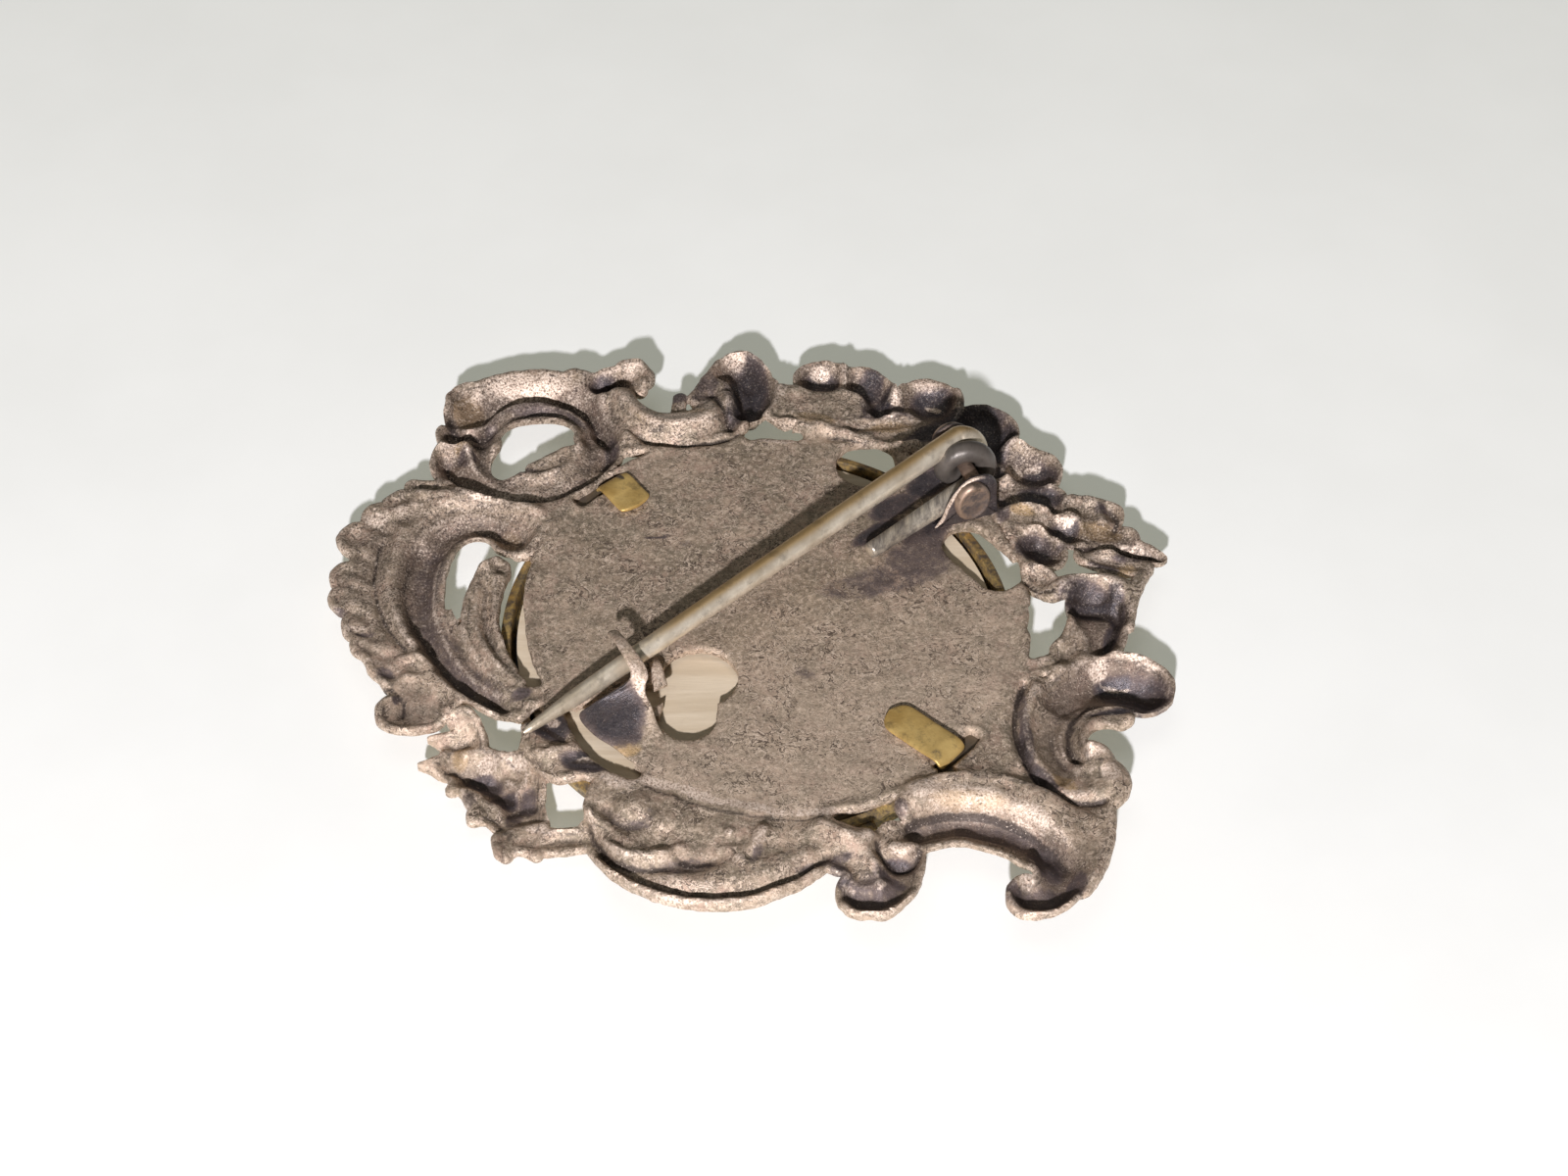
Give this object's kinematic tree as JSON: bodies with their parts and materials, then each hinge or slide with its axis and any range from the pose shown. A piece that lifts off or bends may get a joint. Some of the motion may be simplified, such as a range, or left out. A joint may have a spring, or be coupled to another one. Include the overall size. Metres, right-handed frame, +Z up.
{
  "type": "mourning brooch",
  "caption": "Stamped rococo mourning brooch lying face down, with a round plate, open scroll border, brass stone setting and hinged pin held by a bent catch.",
  "frame": {"origin": "middle of the brooch's outline, on the table it lies face down on", "axes": "+Z up, out of the brooch's back; +X along its longer side, towards the hinge side; +Y towards the hinge's end of the back"},
  "size_m": [0.0438, 0.0378, 0.0061],
  "materials": {
    "stamping": "worn silvering, darkened in the hollows",
    "ring": "satin",
    "stone": "polished black",
    "card": "matte pasteboard",
    "rivet": "worn",
    "pin": "drawn wire, worn bright"
  },
  "bodies": {
    "brooch": {"stamped_frame": "stamping", "bezel": "ring", "cabochon": "stone", "backing_card": "card", "hinge_rivet": "rivet"},
    "pin": {"pin_stem": "pin"}
  },
  "joints": [
    {"name": "pin_hinge", "type": "hinge", "parent": "brooch", "child": "pin", "pos_m": [0.0113, 0.0083, 0.00445], "axis": [-0.3404, 0.9403, 0], "range_deg": [0, 110]}
  ]
}
